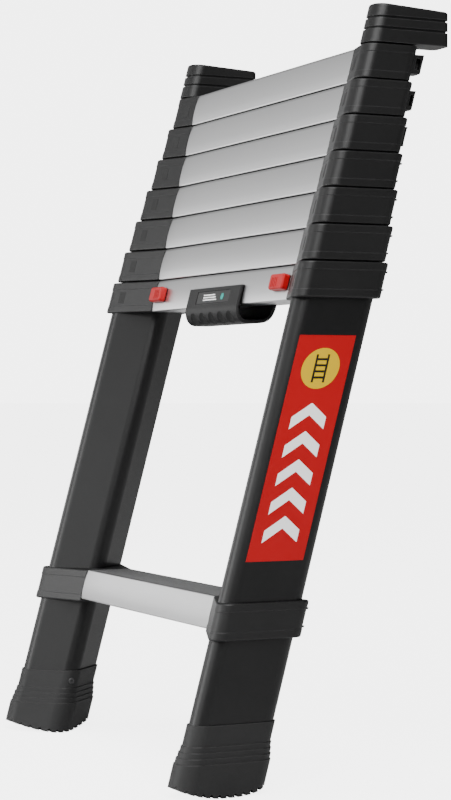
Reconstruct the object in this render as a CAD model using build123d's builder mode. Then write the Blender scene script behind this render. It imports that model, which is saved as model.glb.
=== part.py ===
from build123d import *
import os
from math import atan2, cos, hypot, radians, sin, tan

# Telescoping ladder, closed and leaning at its working angle.
# Millimetres, +Z up, X across the ladder, +Y towards the wall it leans on.
# The origin is on the floor, in the middle of the ladder's plan.
#
# Places on the leaning stiles are given in the stile's own directions:
#   depth    distance behind the treads' front faces, square to the stile
#   station  distance up the stile from the floor
# Pieces of one stile are made for the right side, and mirrored for the left.

# ---- ladder as a whole ----
LEAN = 15.0                  # degrees the stiles lean back from upright
SECTIONS = 7                 # sections that carry a rung; the top tubes slide in the last
STEP_SPACING = 300.0         # tread to tread along the stile when extended
STEP_TOP_HEIGHT = 162.2      # bottom step's tread above the floor
STACK_GAP = 0.77             # between rungs when closed
SEAT_GAP = 0.05              # between pieces that are fixed together

# ---- stile tubes: rounded triangles, flat side outwards ----
TUBE_GAP = 15.5              # from the lowest rung's end to the outer tube's innermost line
TUBE_WIDTH = 49.5            # from that line to the tube's flat outer side
TUBE_FRONT = -20.3           # depths of the outer tube's front and rear
TUBE_REAR = 54.0
TUBE_RADIUS = 12.0           # corner radius of the outer tube
TUBE_WALL = 1.1
NEST_GAP = 1.0               # from a tube's inner face to the next tube
RADIUS_STEP = 1.3            # drop in corner radius from one tube to the next
GUIDE_GROWTH = 0.5           # swelling of a sliding tube's lower end, which guides it
GUIDE_LENGTH = 10.0
SLIDING_GAP = 0.4            # round a tube where it leaves a collar
RETAINED_LENGTH = 60.0       # tube below its lock hole
TUBE_BOTTOM = 36.0           # station of the outer tube's lower end, in the foot
TUBE_END_DROP = 9.5          # tube's upper end below its collar's top

# ---- treads ----
RUNG_HALF_LENGTH = 151.0     # lowest rung, middle to end
RUNG_LENGTH_STEP = 2.76      # each rung's end is further out than the one below
RUNG_HEIGHT = 31.3
STEP_INSET = 1.0             # bottom step's end, in from the lowest rung's
STEP_HEIGHT = 28.6
TREAD_DEPTH = 43.5
TREAD_WALL = 1.8
TREAD_BULGE = 1.0            # crown of the front face
TREAD_CORNER = 1.4
GRIP_GROOVES = 9             # grooves along the top of each tread
GRIP_GROOVE_PITCH = 4.0
GRIP_GROOVE_WIDTH = 1.4
GRIP_GROOVE_DEPTH = 0.6

# ---- collars ----
COLLAR_DROP = 0.1            # how much shorter a collar is than its rung
COLLAR_SIDE_WALL = 4.6       # lowest collar's walls round the outer tube
COLLAR_FRONT_WALL = 3.9
COLLAR_REAR_WALL = 4.0
COLLAR_OUTER_STEP = 2.3      # each collar is this much smaller than the one below
COLLAR_FRONT_STEP = 2.7
COLLAR_REAR_STEP = 2.38
COLLAR_RADIUS = 11.0
COLLAR_LIP = 1.6             # how far a collar stands proud of the tread's faces
BOSS_RADIUS = 1.8
COLLAR_EDGE = 1.5            # rounding of the rims
SPIGOT_LENGTH = 12.0         # plug of the collar in the tread's end
BAND_MARGIN = 7.1            # from a collar's rims to the shallow band sunk round it
BAND_SINK = 0.35
HOOK_INSET = 2.5             # backs of the strap hooks, in from the outer tube's rear
HOOK_LEAST = 0.9             # least that a hook stands out of its collar
HOOK_SIDE_INSET = 22.2       # hook's middle, in from the outer tube's flat side
HOOK_WIDTH = 13.4
HOOK_HEIGHT = 17.0
HOOK_EYE_HEIGHT = 10.0
HOOK_EYE_WALL = 1.3
HOOK_EYE_SINK = 6.0
NUB_RISE = 3.2               # nubs over and under the hook, out of the collar's back
NUB_THICK = 1.6
NUB_INSET = 12.0             # nubs' outer ends, in from the collar's outer side

# ---- locks ----
BOLT_RADIUS = 4.0
BOLT_LENGTH = 46.0
BOLT_DROP = 20.6             # bolt's axis below the tread
BOLT_GAP = 0.3               # round the bolt in its bore, and from its tip to the tube
BOLT_TRAVEL = 5.0
BOLT_EDGE = 1.0

# ---- release buttons ----
BUTTON_INSET = 1.6           # from the pad to the rung's end
BUTTON_WIDTH = 27.4
BUTTON_HEIGHT = 14.4
BUTTON_DROP = 15.2           # pad's middle below the tread
BUTTON_THICK = 6.2
BUTTON_RADIUS = 2.6
BUTTON_EDGE = 1.8
BUTTON_NECK_INSET = 19.0     # neck's middle, in from the rung's end
BUTTON_NECK_WIDTH = 9.0
BUTTON_NECK_HEIGHT = 6.0
BUTTON_GAP = 0.5             # behind the pad, and round the neck in its slot

# ---- carry handle ----
HANDLE_HALF_WIDTH = 58.0
HANDLE_WALL = 3.2
HANDLE_PLATE_DROP = 13.0     # top of the front plate below the tread
HANDLE_GRIP_DROP = 17.3      # bottom of the grip below the rung
HANDLE_FLAT_FRONT = 10.0     # depths of the grip's flat bottom
HANDLE_FLAT_REAR = 22.0
HANDLE_GRIP_REAR = 36.0      # depth of the grip's rear wall
HANDLE_EDGE = 1.0
FINGERS = 5
FINGER_PITCH = 20.0
FINGER_RADIUS = 14.0
FINGER_SINK = 1.3
FINGER_BOW = 4.4             # rise of the grip's front curve over its chord
BADGE_WIDTH = 74.0           # sunk panel in the front plate
BADGE_HEIGHT = 13.0
BADGE_MARGIN = 3.2           # from the plate's top to the panel
BADGE_SINK = 0.6

# ---- feet ----
FOOT_TOP_HEIGHT = 60.7
FOOT_GROWTH = 1.5            # foot's wall round the tube at the rim
FOOT_LEDGE_GROWTH = 0.9      # each ledge is this much wider than the one above
FOOT_LEDGES = 4
FOOT_FIRST_LEDGE = 43.3      # height of the highest ledge
FOOT_LEDGE_PITCH = 4.8
FOOT_TOE_HEIGHT = 9.6        # sole's front and rear edges above the floor
FOOT_HEEL_HEIGHT = 7.0
FOOT_FLAT_SINK = 0.15        # how far the sole's arc would reach below the floor
SOLE_CUTS = 12
SOLE_CUT_WIDTH = 2.4
SOLE_CUT_DEPTH = 3.2
SOLE_CUT_TILT = 25.0
FOOT_SCREW_HEIGHT = 50.5
FOOT_SCREW_HEAD = 3.0
FOOT_SCREW_HEAD_THICK = 1.5
FOOT_SCREW_SEAT = 0.7        # depth of the flat seat under the head
FOOT_SCREW_SHANK = 1.7
FOOT_SCREW_LENGTH = 8.0
SCREW_DRIVE_RADIUS = 1.4
SCREW_DRIVE_DEPTH = 0.9

# ---- end caps ----
CAP_SIDE_INSET = 8.5         # cap's outer side, in from the outer tube's
CAP_WIDTH = 26.0
CAP_FRONT = -8.0             # depth of the front face
CAP_REACH = 73.2             # upright rear face, behind the treads' fronts at the underside
CAP_GAP = 1.0                # above the top collar
CAP_FRONT_RISE = 34.7        # cap's height at its front and at its rear
CAP_REAR_RISE = 30.5
CAP_FRONT_RADIUS = 12.0
CAP_REAR_RADIUS = 5.5
CAP_EDGE = 2.4
CAP_GROOVES = (12.6, 22.2)   # heights of the grooves above the underside
CAP_GROOVE_WIDTH = 2.2
CAP_GROOVE_DEPTH = 1.7
CAP_TUBE_DEPTH = 20.0        # top tube in the cap

# ---- worked out ----
COS, SIN, TAN = cos(radians(LEAN)), sin(radians(LEAN)), tan(radians(LEAN))
STILE = Vector(0, SIN, COS)
TOP_TUBE = SECTIONS + 1
TUBE_APEX_X = RUNG_HALF_LENGTH + TUBE_GAP
TUBE_OUTER_X = TUBE_APEX_X + TUBE_WIDTH
NEST_STEP = TUBE_WALL + NEST_GAP
TUBE_MIDDLE = (TUBE_FRONT + TUBE_REAR) / 2
CORNER_X = TUBE_OUTER_X - TUBE_RADIUS
CORNER_HALF_DEPTH = (TUBE_REAR - TUBE_FRONT) / 2 - TUBE_RADIUS
APEX_CENTRE_X = TUBE_APEX_X + TUBE_RADIUS
FACE_ANGLE = atan2(CORNER_HALF_DEPTH, CORNER_X - APEX_CENTRE_X)
CLOSED_RISE = RUNG_HEIGHT + STACK_GAP
LOCK_TRAVEL = STEP_SPACING - CLOSED_RISE / COS
RUNG_TOP_HEIGHT = STEP_TOP_HEIGHT + STEP_SPACING * COS
STEP_HALF_LENGTH = RUNG_HALF_LENGTH - STEP_INSET
COLLAR_HEIGHT = RUNG_HEIGHT - COLLAR_DROP
COLLAR_OUTER_X = TUBE_OUTER_X + COLLAR_SIDE_WALL
COLLAR_FRONT = TUBE_FRONT - COLLAR_FRONT_WALL
COLLAR_REAR = TUBE_REAR + COLLAR_REAR_WALL
BAND_HEIGHT = COLLAR_HEIGHT - 2 * BAND_MARGIN
HOOK_REAR = TUBE_REAR - HOOK_INSET
HOOK_X = TUBE_OUTER_X - HOOK_SIDE_INSET
FOOT_BASE_GROWTH = FOOT_GROWTH + FOOT_LEDGES * FOOT_LEDGE_GROWTH
BUTTON_OUTER_X = RUNG_HALF_LENGTH - BUTTON_INSET
BUTTON_INNER_X = BUTTON_OUTER_X - BUTTON_WIDTH
BUTTON_NECK_X = RUNG_HALF_LENGTH - BUTTON_NECK_INSET
BUTTON_DEPTH = -TREAD_BULGE - BUTTON_GAP
BUTTON_STATION = (RUNG_TOP_HEIGHT - BUTTON_DROP + BUTTON_DEPTH * SIN) / COS
HANDLE_SKIN = -TREAD_BULGE - SEAT_GAP - HANDLE_WALL
CAP_OUTER_X = TUBE_OUTER_X - CAP_SIDE_INSET
CAP_INNER_X = CAP_OUTER_X - CAP_WIDTH
CAP_BOTTOM = RUNG_TOP_HEIGHT + (SECTIONS - 1) * CLOSED_RISE + CAP_GAP

# The plan's middle is half way between the feet's toes and the caps' rear faces.
TOE_Y = (TUBE_FRONT - FOOT_BASE_GROWTH) / COS + FOOT_TOE_HEIGHT * TAN
CAP_BACK_Y = CAP_BOTTOM * TAN + CAP_REACH
ORIGIN_Y = -(TOE_Y + CAP_BACK_Y) / 2


def point(depth, station):
    """Y and Z of a place in the stile's side view."""
    return ORIGIN_Y + depth * COS + station * SIN, station * COS - depth * SIN


def level_y(depth, height):
    """Y of a depth at a height."""
    return ORIGIN_Y + depth / COS + height * TAN


def square_plane(station):
    """Plane square to the stile; its X is across the ladder and its Y is depth."""
    y, z = point(0, station)
    return Plane(origin=(0, y, z), x_dir=(1, 0, 0), z_dir=STILE)


def level_plane(height):
    """Level plane whose origin is under the treads' front edges."""
    return Plane(origin=(0, level_y(0, height), height), x_dir=(1, 0, 0), z_dir=(0, 0, 1))


def front_plane(depth, station, x=0.0):
    """Plane parallel to the treads' fronts, facing forwards; its Y runs up the stile."""
    y, z = point(depth, station)
    return Plane(origin=(x, y, z), x_dir=(1, 0, 0), z_dir=(0, -COS, SIN))


def tread_top(section):
    """Height of a section's tread; section 1 is the lowest."""
    return RUNG_TOP_HEIGHT + (section - 1) * CLOSED_RISE


def rung_end(section):
    """Half length of a section's rung."""
    return RUNG_HALF_LENGTH + (section - 1) * RUNG_LENGTH_STEP


def bolt_station(section):
    """Station of a section's lock bolts, at the tubes' middle depth."""
    return (tread_top(section) - BOLT_DROP + TUBE_MIDDLE * SIN) / COS


def tube_bottom(section):
    """Station of a tube's lower end; its lock hole meets the bolt when extended."""
    if section == 1:
        return TUBE_BOTTOM
    return bolt_station(section - 1) - LOCK_TRAVEL - RETAINED_LENGTH


def tube_top(section):
    """Station of a tube's upper end, inside its collar or its end cap."""
    if section == TOP_TUBE:
        return (CAP_BOTTOM + CAP_TUBE_DEPTH) / COS
    return tread_top(section) / COS - TUBE_END_DROP


def apex_x(section):
    """Innermost line of a section's tube."""
    level = section - 1
    drift = level * (NEST_STEP - RADIUS_STEP) / sin(FACE_ANGLE)
    return TUBE_APEX_X + drift + level * RADIUS_STEP


def bore_start(section):
    """Where a bolt's hole through a tube's apex begins, inside the tube."""
    return apex_x(section) + 2 * BOLT_RADIUS


def tube_outline(section, growth=0.0):
    """Rounded triangle of a section's tube, seen along the stile."""
    level = section - 1
    inset = level * (NEST_STEP - RADIUS_STEP)
    corner_x = CORNER_X - inset
    apex = APEX_CENTRE_X + inset / sin(FACE_ANGLE)
    half_depth = (corner_x - apex) * tan(FACE_ANGLE)
    with BuildSketch() as outline:
        Polygon(
            (apex, TUBE_MIDDLE),
            (corner_x, TUBE_MIDDLE - half_depth),
            (corner_x, TUBE_MIDDLE + half_depth),
            align=None,
        )
        offset(amount=TUBE_RADIUS - level * RADIUS_STEP + growth)
    return outline.sketch


def collar_outline(section, end_x, sink=0.0):
    """Level outline of a collar: round the tube, and up to the tread's end."""
    level = section - 1
    outer = COLLAR_OUTER_X - level * COLLAR_OUTER_STEP - COLLAR_RADIUS
    front = (COLLAR_FRONT + level * COLLAR_FRONT_STEP) / COS + COLLAR_RADIUS
    rear = (COLLAR_REAR - level * COLLAR_REAR_STEP) / COS - COLLAR_RADIUS
    boss_front = -COLLAR_LIP / COS + BOSS_RADIUS
    boss_rear = (TREAD_DEPTH + COLLAR_LIP) / COS - BOSS_RADIUS
    with BuildSketch() as outline:
        with Locations((outer, front), (outer, rear)):
            Circle(COLLAR_RADIUS - sink)
        with Locations((end_x + BOSS_RADIUS, boss_front), (end_x + BOSS_RADIUS, boss_rear)):
            Circle(BOSS_RADIUS - sink)
        make_hull()
    return outline.sketch


def tread_outline(top, height, inset=0.0):
    """Side view of a tread: level top and bottom, front and rear along the stile."""
    high, low = top - inset, top - height + inset
    front_low = (level_y(inset, low), low)
    front_high = (level_y(inset, high), high)
    rear_high = (level_y(TREAD_DEPTH - inset, high), high)
    rear_low = (level_y(TREAD_DEPTH - inset, low), low)
    with BuildSketch() as outline:
        with BuildLine():
            Polyline(front_high, rear_high, rear_low, front_low)
            if inset:
                Line(front_low, front_high)
            else:
                SagittaArc(front_low, front_high, TREAD_BULGE)
        make_face()
        fillet(outline.vertices(), max(TREAD_CORNER - inset / 2, TREAD_WALL / 4))
    return outline.sketch


def make_tube(name, section):
    """A stile tube with its lock holes; a sliding tube has a swollen lower end."""
    outside = tube_outline(section)
    inside = tube_outline(section, -TUBE_WALL)
    swelling = tube_outline(section, GUIDE_GROWTH)
    bottom = tube_bottom(section)
    length = tube_top(section) - bottom
    holes = []
    if section < TOP_TUBE:
        holes.append(point(TUBE_MIDDLE, bolt_station(section)))
    if section > 1:
        holes.append(point(TUBE_MIDDLE, bottom + RETAINED_LENGTH))
    with BuildPart() as tube:
        with BuildSketch(square_plane(bottom)):
            add(outside)
        extrude(amount=length)
        if section > 1:
            with BuildSketch(square_plane(bottom)):
                add(swelling)
            extrude(amount=GUIDE_LENGTH)
        with BuildSketch(square_plane(bottom)):
            add(inside)
        extrude(amount=length, mode=Mode.SUBTRACT)
        with BuildSketch(Plane.YZ.offset(bore_start(section))):
            with Locations(*holes):
                Circle(BOLT_RADIUS + BOLT_GAP)
        extrude(amount=-2 * TUBE_RADIUS, mode=Mode.SUBTRACT)
        if section == 1:
            with BuildSketch(Plane.YZ.offset(APEX_CENTRE_X)):
                with Locations(screw_place()):
                    Circle(FOOT_SCREW_SHANK + SEAT_GAP)
            extrude(amount=-2 * TUBE_RADIUS, mode=Mode.SUBTRACT)
    tube.part.label = name
    return tube.part


def make_collar(name, section, top, end_x, tread_height, station_top):
    """A collar: grips its tube, plugs its tread's end and carries a strap hook.

    The tube's pocket ends at station_top. A collar of the stack also lets the
    next tube through and has the lock bolt's bore.
    """
    level = section - 1
    base = top - COLLAR_HEIGHT
    outline = collar_outline(section, end_x)
    band = collar_outline(section, end_x, BAND_SINK)
    plug = tread_outline(top, tread_height, TREAD_WALL + SEAT_GAP)
    pocket = tube_outline(section, SEAT_GAP)
    passage = tube_outline(section + 1, SLIDING_GAP)
    pocket_bottom = base / COS - COLLAR_HEIGHT
    band_low = base + (COLLAR_HEIGHT - BAND_HEIGHT) / 2

    # The hook stands out of the collar's back, with an eye sunk in its outer side.
    collar_rear = COLLAR_REAR - level * COLLAR_REAR_STEP
    hook_rear = max(HOOK_REAR, collar_rear + HOOK_LEAST)
    hook_low = base + (COLLAR_HEIGHT - HOOK_HEIGHT) / 2
    hook_middle = hook_low + HOOK_HEIGHT / 2
    hook_front = TUBE_MIDDLE / COS
    eye_width = hook_rear - collar_rear - 2 * HOOK_EYE_WALL
    eye_y = level_y((hook_rear + collar_rear) / 2, hook_middle)
    nub_rear = max(hook_rear + HOOK_LEAST, collar_rear + NUB_RISE) / COS
    nub_inner = HOOK_X - HOOK_WIDTH / 2
    nub_outer = COLLAR_OUTER_X - level * COLLAR_OUTER_STEP - NUB_INSET

    with BuildPart() as collar:
        with BuildSketch(level_plane(base)):
            add(outline)
        extrude(amount=COLLAR_HEIGHT / COS, dir=STILE)
        level_faces = collar.faces().filter_by(Plane.XY)
        fillet(level_faces.edges(), COLLAR_EDGE)
        with BuildSketch(level_plane(band_low)):
            add(outline)
            add(band, mode=Mode.SUBTRACT)
        extrude(amount=BAND_HEIGHT / COS, dir=STILE, mode=Mode.SUBTRACT)
        with BuildSketch(level_plane(hook_low)):
            with Locations((HOOK_X, (hook_front + hook_rear / COS) / 2)):
                Rectangle(HOOK_WIDTH, hook_rear / COS - hook_front)
        extrude(amount=HOOK_HEIGHT / COS, dir=STILE)
        for nub_low in (hook_low, hook_low + HOOK_HEIGHT - NUB_THICK):
            with BuildSketch(level_plane(nub_low)):
                with Locations(((nub_inner + nub_outer) / 2, (hook_front + nub_rear) / 2)):
                    Rectangle(nub_outer - nub_inner, nub_rear - hook_front)
            extrude(amount=NUB_THICK / COS, dir=STILE)
        if eye_width > HOOK_EYE_WALL:
            with BuildSketch(Plane.YZ.offset(HOOK_X + HOOK_WIDTH / 2)):
                with Locations((eye_y, hook_middle)):
                    Rectangle(eye_width, HOOK_EYE_HEIGHT, rotation=-LEAN)
            extrude(amount=-HOOK_EYE_SINK, mode=Mode.SUBTRACT)
        with BuildSketch(Plane.YZ.offset(end_x + BOSS_RADIUS)):
            add(plug)
        extrude(amount=-SPIGOT_LENGTH - BOSS_RADIUS)
        with BuildSketch(square_plane(pocket_bottom)):
            add(pocket)
        extrude(amount=station_top - pocket_bottom, mode=Mode.SUBTRACT)
        if station_top < top / COS:
            with BuildSketch(square_plane(pocket_bottom)):
                add(passage)
            extrude(amount=3 * COLLAR_HEIGHT, mode=Mode.SUBTRACT)
            with BuildSketch(Plane.YZ.offset(bore_start(section))):
                with Locations(point(TUBE_MIDDLE, bolt_station(section))):
                    Circle(BOLT_RADIUS + BOLT_GAP)
            bore_end = end_x - SPIGOT_LENGTH - BOSS_RADIUS
            extrude(amount=bore_end - bore_start(section), mode=Mode.SUBTRACT)
    collar.part.label = name
    return collar.part


def make_tread(name, top, height, half_length):
    """A hollow rung or step with grip grooves along its top."""
    outside = tread_outline(top, height)
    inside = tread_outline(top, height, TREAD_WALL)
    with BuildPart() as tread:
        with BuildSketch(Plane.YZ):
            add(outside)
            add(inside, mode=Mode.SUBTRACT)
            with Locations((level_y(TREAD_DEPTH / 2, top), top)):
                with GridLocations(GRIP_GROOVE_PITCH, 0, GRIP_GROOVES, 1):
                    Rectangle(GRIP_GROOVE_WIDTH, 2 * GRIP_GROOVE_DEPTH, mode=Mode.SUBTRACT)
        extrude(amount=half_length, both=True)
    tread.part.label = name
    return tread.part


def make_slotted_rung(name, section):
    """The lowest rung, with the slots that the release buttons' necks move in."""
    plain = make_tread(name, tread_top(section), RUNG_HEIGHT, rung_end(section))
    length = BUTTON_NECK_WIDTH + BOLT_TRAVEL + 2 * BUTTON_GAP
    middle = BUTTON_NECK_X - BOLT_TRAVEL / 2
    with BuildPart() as rung:
        add(plain)
        with BuildSketch(front_plane(2 * TREAD_WALL, BUTTON_STATION)):
            with Locations((middle, 0), (-middle, 0)):
                Rectangle(length, BUTTON_NECK_HEIGHT + 2 * BUTTON_GAP)
        extrude(amount=4 * TREAD_WALL, mode=Mode.SUBTRACT)
    rung.part.label = name
    return rung.part


def make_bolt(name, section):
    """A round lock bolt whose tip stops just short of the next tube."""
    tip = apex_x(section + 1) - BOLT_GAP
    with BuildPart() as bolt:
        with BuildSketch(Plane.YZ.offset(tip)):
            with Locations(point(TUBE_MIDDLE, bolt_station(section))):
                Circle(BOLT_RADIUS)
        extrude(amount=-BOLT_LENGTH)
        chamfer(bolt.edges().filter_by(GeomType.CIRCLE), BOLT_EDGE)
    bolt.part.label = name
    return bolt.part


def make_button(name):
    """A release button: thumb pad, neck through the rung's front, and its lock bolt."""
    middle = (BUTTON_INNER_X + BUTTON_OUTER_X) / 2
    tip = apex_x(2) - BOLT_GAP
    with BuildPart() as button:
        with BuildSketch(front_plane(BUTTON_DEPTH, BUTTON_STATION, middle)):
            RectangleRounded(BUTTON_WIDTH, BUTTON_HEIGHT, BUTTON_RADIUS)
        extrude(amount=BUTTON_THICK)
        fillet(button.faces().sort_by(Axis.Y)[0].edges(), BUTTON_EDGE)
        with BuildSketch(front_plane(TUBE_MIDDLE, BUTTON_STATION, BUTTON_NECK_X)):
            Rectangle(BUTTON_NECK_WIDTH, BUTTON_NECK_HEIGHT)
        extrude(amount=TUBE_MIDDLE - BUTTON_DEPTH)
        with BuildSketch(Plane.YZ.offset(tip)):
            with Locations(point(TUBE_MIDDLE, bolt_station(1))):
                Circle(BOLT_RADIUS)
        extrude(amount=-BOLT_LENGTH)
    button.part.label = name
    return button.part


def handle_corners(inset):
    """Corners of the carry handle's side view, inset from its outside."""
    low = RUNG_TOP_HEIGHT - RUNG_HEIGHT
    top = RUNG_TOP_HEIGHT - HANDLE_PLATE_DROP
    floor = low - HANDLE_GRIP_DROP + inset
    skin = HANDLE_SKIN + inset
    return (
        (level_y(skin, top), top),
        (level_y(skin, low), low),
        (level_y(HANDLE_FLAT_FRONT, floor), floor),
        (level_y(HANDLE_FLAT_REAR, floor), floor),
        (level_y(HANDLE_GRIP_REAR - inset, low), low),
    )


def make_handle(name):
    """The carry handle: front plate, and a grip with finger hollows under the rung."""
    outer = handle_corners(0)
    inner = handle_corners(HANDLE_WALL)
    down, up = (-SIN, -COS), (SIN, COS)
    chord = (outer[2][0] - outer[1][0], outer[2][1] - outer[1][1])
    curve_plane = Plane(origin=(0, *outer[1]), x_dir=(1, 0, 0), z_dir=(0, *chord))
    plate_top = RUNG_TOP_HEIGHT - HANDLE_PLATE_DROP
    panel_station = (plate_top + HANDLE_SKIN * SIN) / COS - BADGE_MARGIN - BADGE_HEIGHT / 2
    with BuildPart() as handle:
        with BuildSketch(Plane.YZ):
            with BuildLine():
                Line(outer[0], outer[1])
                Spline(outer[1], outer[2], tangents=[down, (1, 0)])
                Line(outer[2], outer[3])
                Spline(outer[3], outer[4], tangents=[(1, 0), up])
                Line(outer[4], inner[4])
                Spline(inner[4], inner[3], tangents=[down, (-1, 0)])
                Line(inner[3], inner[2])
                Spline(inner[2], inner[1], tangents=[(-1, 0), up])
                Line(inner[1], inner[0])
                Line(inner[0], outer[0])
            make_face()
        extrude(amount=HANDLE_HALF_WIDTH, both=True)
        chamfer(handle.faces().filter_by(Axis.X).edges(), HANDLE_EDGE)
        with BuildSketch(front_plane(HANDLE_SKIN, panel_station)):
            RectangleRounded(BADGE_WIDTH, BADGE_HEIGHT, HANDLE_EDGE)
        extrude(amount=-BADGE_SINK, mode=Mode.SUBTRACT)
        with BuildSketch(curve_plane):
            with Locations((0, FINGER_BOW + FINGER_RADIUS - FINGER_SINK)):
                with GridLocations(FINGER_PITCH, 0, FINGERS, 1):
                    Circle(FINGER_RADIUS)
        extrude(amount=hypot(*chord), mode=Mode.SUBTRACT)
    handle.part.label = name
    return handle.part


def screw_place():
    """Y and Z of a foot's screw, at the tube's middle depth."""
    return level_y(TUBE_MIDDLE, FOOT_SCREW_HEIGHT), FOOT_SCREW_HEIGHT


def foot_band(growth, low, top):
    """One level band of a foot, between two heights."""
    outline = tube_outline(1, growth)
    with BuildPart() as band:
        with BuildSketch(square_plane(low - TUBE_REAR)):
            add(outline)
        extrude(amount=top - low + 2 * TUBE_REAR)
        split(bisect_by=Plane.XY.offset(top), keep=Keep.BOTTOM)
        split(bisect_by=Plane.XY.offset(low), keep=Keep.TOP)
    return band.part


def make_foot(name):
    """A rubber foot: ledges, a curved sole with a flat and cuts, and a tube socket."""
    bands = [foot_band(FOOT_GROWTH, FOOT_FIRST_LEDGE, FOOT_TOP_HEIGHT)]
    for ledge in range(1, FOOT_LEDGES + 1):
        top = FOOT_FIRST_LEDGE - (ledge - 1) * FOOT_LEDGE_PITCH
        low = top - FOOT_LEDGE_PITCH
        if ledge == FOOT_LEDGES:
            low = 0
        bands.append(foot_band(FOOT_GROWTH + ledge * FOOT_LEDGE_GROWTH, low, top))
    socket = tube_outline(1, SEAT_GAP)
    toe = (ORIGIN_Y + TOE_Y, FOOT_TOE_HEIGHT)
    heel = (level_y(TUBE_REAR + FOOT_BASE_GROWTH, FOOT_HEEL_HEIGHT), FOOT_HEEL_HEIGHT)
    middle = ((toe[0] + heel[0]) / 2, -FOOT_FLAT_SINK)
    cut_pitch = (heel[0] - toe[0]) / SOLE_CUTS
    with BuildLine() as sole:
        arc = ThreePointArc(toe, middle, heel)
    cuts = [arc.position_at((index + 0.5) / SOLE_CUTS) for index in range(SOLE_CUTS)]
    with BuildPart() as foot:
        for band in bands:
            add(band)
        with BuildSketch(Plane.YZ):
            with BuildLine():
                add(arc)
                Polyline(
                    heel,
                    (heel[0] + cut_pitch, FOOT_HEEL_HEIGHT),
                    (heel[0] + cut_pitch, -FOOT_TOE_HEIGHT),
                    (toe[0] - cut_pitch, -FOOT_TOE_HEIGHT),
                    (toe[0] - cut_pitch, FOOT_TOE_HEIGHT),
                    toe,
                )
            make_face()
            for cut in cuts:
                with Locations((cut.X, cut.Y)):
                    Rectangle(SOLE_CUT_WIDTH, 2 * SOLE_CUT_DEPTH, rotation=SOLE_CUT_TILT)
        extrude(amount=TUBE_OUTER_X + FOOT_BASE_GROWTH + 1, mode=Mode.SUBTRACT)
        with BuildSketch(square_plane(TUBE_BOTTOM)):
            add(socket)
        extrude(amount=FOOT_TOP_HEIGHT, mode=Mode.SUBTRACT)
        with BuildSketch(Plane.YZ.offset(TUBE_APEX_X - FOOT_GROWTH + FOOT_SCREW_SEAT)):
            with Locations(screw_place()):
                Circle(FOOT_SCREW_HEAD + SEAT_GAP)
        extrude(amount=-TUBE_RADIUS, mode=Mode.SUBTRACT)
        with BuildSketch(Plane.YZ.offset(APEX_CENTRE_X)):
            with Locations(screw_place()):
                Circle(FOOT_SCREW_SHANK + SEAT_GAP)
        extrude(amount=-2 * TUBE_RADIUS, mode=Mode.SUBTRACT)
    foot.part.label = name
    return foot.part


def make_foot_screws(name):
    """The screws that hold the feet on their tubes, one in each foot's inner side."""
    seat = TUBE_APEX_X - FOOT_GROWTH + FOOT_SCREW_SEAT
    with BuildPart() as screws:
        with BuildSketch(Plane.YZ.offset(seat)):
            with Locations(screw_place()):
                Circle(FOOT_SCREW_HEAD)
        extrude(amount=-FOOT_SCREW_HEAD_THICK)
        chamfer(screws.faces().sort_by(Axis.X)[0].edges(), FOOT_SCREW_HEAD_THICK / 3)
        with BuildSketch(Plane.YZ.offset(seat)):
            with Locations(screw_place()):
                Circle(FOOT_SCREW_SHANK)
        extrude(amount=FOOT_SCREW_LENGTH)
        with BuildSketch(Plane.YZ.offset(seat - FOOT_SCREW_HEAD_THICK)):
            with Locations(screw_place()):
                RegularPolygon(SCREW_DRIVE_RADIUS, 6)
        extrude(amount=SCREW_DRIVE_DEPTH, mode=Mode.SUBTRACT)
        mirror(about=Plane.YZ)
    screws.part.label = name
    return screws.part


def cap_body(inset):
    """An end cap without its grooves and pocket, inset all round in plan."""
    low = CAP_BOTTOM
    front_top, rear_top = low + CAP_FRONT_RISE, low + CAP_REAR_RISE
    back = ORIGIN_Y + CAP_BACK_Y - inset
    depth = CAP_FRONT + inset * COS
    width = CAP_WIDTH - 2 * inset
    with BuildPart() as body:
        with BuildSketch(Plane.YZ.offset(CAP_INNER_X + inset)):
            with BuildLine():
                Polyline(
                    (level_y(depth, low), low),
                    (back, low),
                    (back, rear_top),
                    (level_y(depth, front_top), front_top),
                    close=True,
                )
            make_face()
        extrude(amount=width)
        side_edges = body.edges().filter_by(Axis.X, reverse=True)
        rising = side_edges.filter_by(lambda edge: abs(edge.tangent_at(0.5).Z) > COS / 2)
        fillet(rising.sort_by(Axis.Y)[:2], CAP_FRONT_RADIUS - inset)
        fillet(body.edges().filter_by(Axis.Z), CAP_REAR_RADIUS - inset)
    return body.part


def make_cap(name):
    """An end cap: upright rear face for the wall, two grooves, and a tube pocket."""
    plain = cap_body(0)
    core = cap_body(CAP_GROOVE_DEPTH)
    pocket = tube_outline(TOP_TUBE, SEAT_GAP)
    low = CAP_BOTTOM
    with BuildPart() as rings:
        for height in CAP_GROOVES:
            with Locations((CAP_INNER_X, 0, low + height)):
                Box(2 * CAP_INNER_X, 2 * CAP_BACK_Y, CAP_GROOVE_WIDTH)
        add(core, mode=Mode.SUBTRACT)
    with BuildPart() as cap:
        add(plain)
        fillet(cap.faces().sort_by(Axis.Z)[-1].edges(), CAP_EDGE)
        add(rings.part, mode=Mode.SUBTRACT)
        with BuildSketch(square_plane(tube_top(TOP_TUBE))):
            add(pocket)
        extrude(amount=-2 * CAP_TUBE_DEPTH, mode=Mode.SUBTRACT)
    cap.part.label = name
    return cap.part


def mirrored(name, piece):
    """The left-hand copy of a right-hand piece."""
    with BuildPart() as copy:
        mirror(piece, about=Plane.YZ)
    copy.part.label = name
    return copy.part


def make_base():
    """Middle pieces of the base, which stands on the floor."""
    return [
        make_slotted_rung("rung_1", 1),
        make_tread("bottom_step", STEP_TOP_HEIGHT, STEP_HEIGHT, STEP_HALF_LENGTH),
        make_handle("carry_handle"),
        make_foot_screws("foot_screws"),
    ]


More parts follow.
